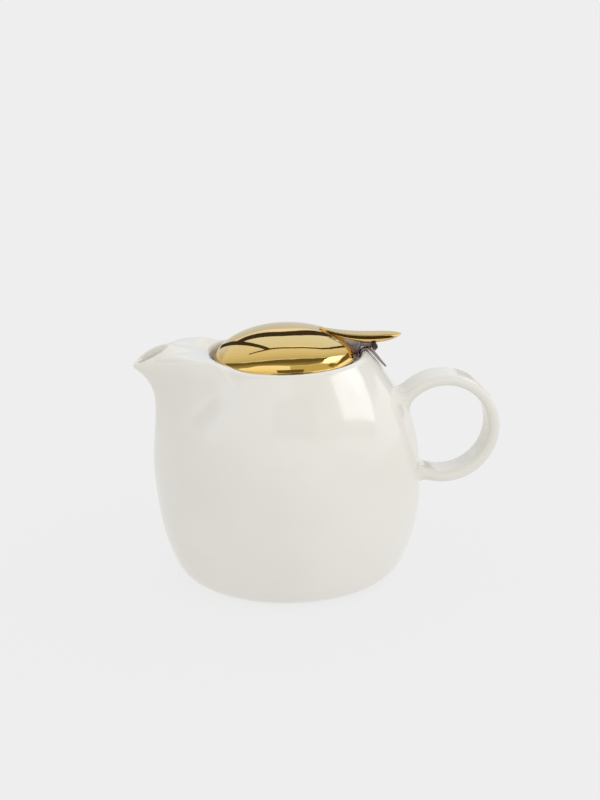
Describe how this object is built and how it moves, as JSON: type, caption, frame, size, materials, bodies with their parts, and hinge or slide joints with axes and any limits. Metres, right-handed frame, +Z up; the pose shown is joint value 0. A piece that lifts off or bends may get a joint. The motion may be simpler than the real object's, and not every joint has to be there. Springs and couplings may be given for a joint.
{
  "type": "teapot",
  "caption": "Rounded ceramic teapot with a short beak spout, a ring handle, a hinged domed metal lid on a rim clip with a leaf thumb lever, and a lift-out infuser basket.",
  "frame": {"origin": "centre of the foot ring, on the table plane", "axes": "+Z up along the pot's axis, +X towards the handle, the spout points to -X, +Y to the left of someone who looks along +X"},
  "size_m": [0.1756, 0.1278, 0.123],
  "materials": {
    "white_glaze": "glossy warm off-white glaze",
    "gold_mirror": "mirror-polished gold-tone plating",
    "bright_steel": "bright pressed steel",
    "pin_steel": "turned and polished steel",
    "infuser_steel": "satin etched stainless sheet"
  },
  "bodies": {
    "pot": {"pot_body": "white_glaze", "pot_floor": "white_glaze", "spout": "white_glaze", "handle": "white_glaze"},
    "infuser": {"infuser_wall": "infuser_steel", "infuser_floor": "infuser_steel", "infuser_rim": "infuser_steel"},
    "clip": {"rim_clip": "bright_steel", "clip_ears": "bright_steel", "hinge_pin": "pin_steel", "pin_balls": "pin_steel"},
    "lid": {"lid_dome": "gold_mirror", "lid_liner": "bright_steel", "thumb_lever": "gold_mirror", "hinge_lug": "bright_steel"}
  },
  "joints": [
    {"name": "infuser_lift", "type": "slide", "parent": "pot", "child": "infuser", "axis": [0, 0, 1], "range_m": [0, 0.11]},
    {"name": "clip_lift", "type": "slide", "parent": "infuser", "child": "clip", "axis": [0, 0, 1], "range_m": [0, 0.04]},
    {"name": "lid_open", "type": "hinge", "parent": "clip", "child": "lid", "pos_m": [0.0422, 0, 0.1124], "axis": [0, 1, 0], "range_deg": [0, 75]}
  ]
}
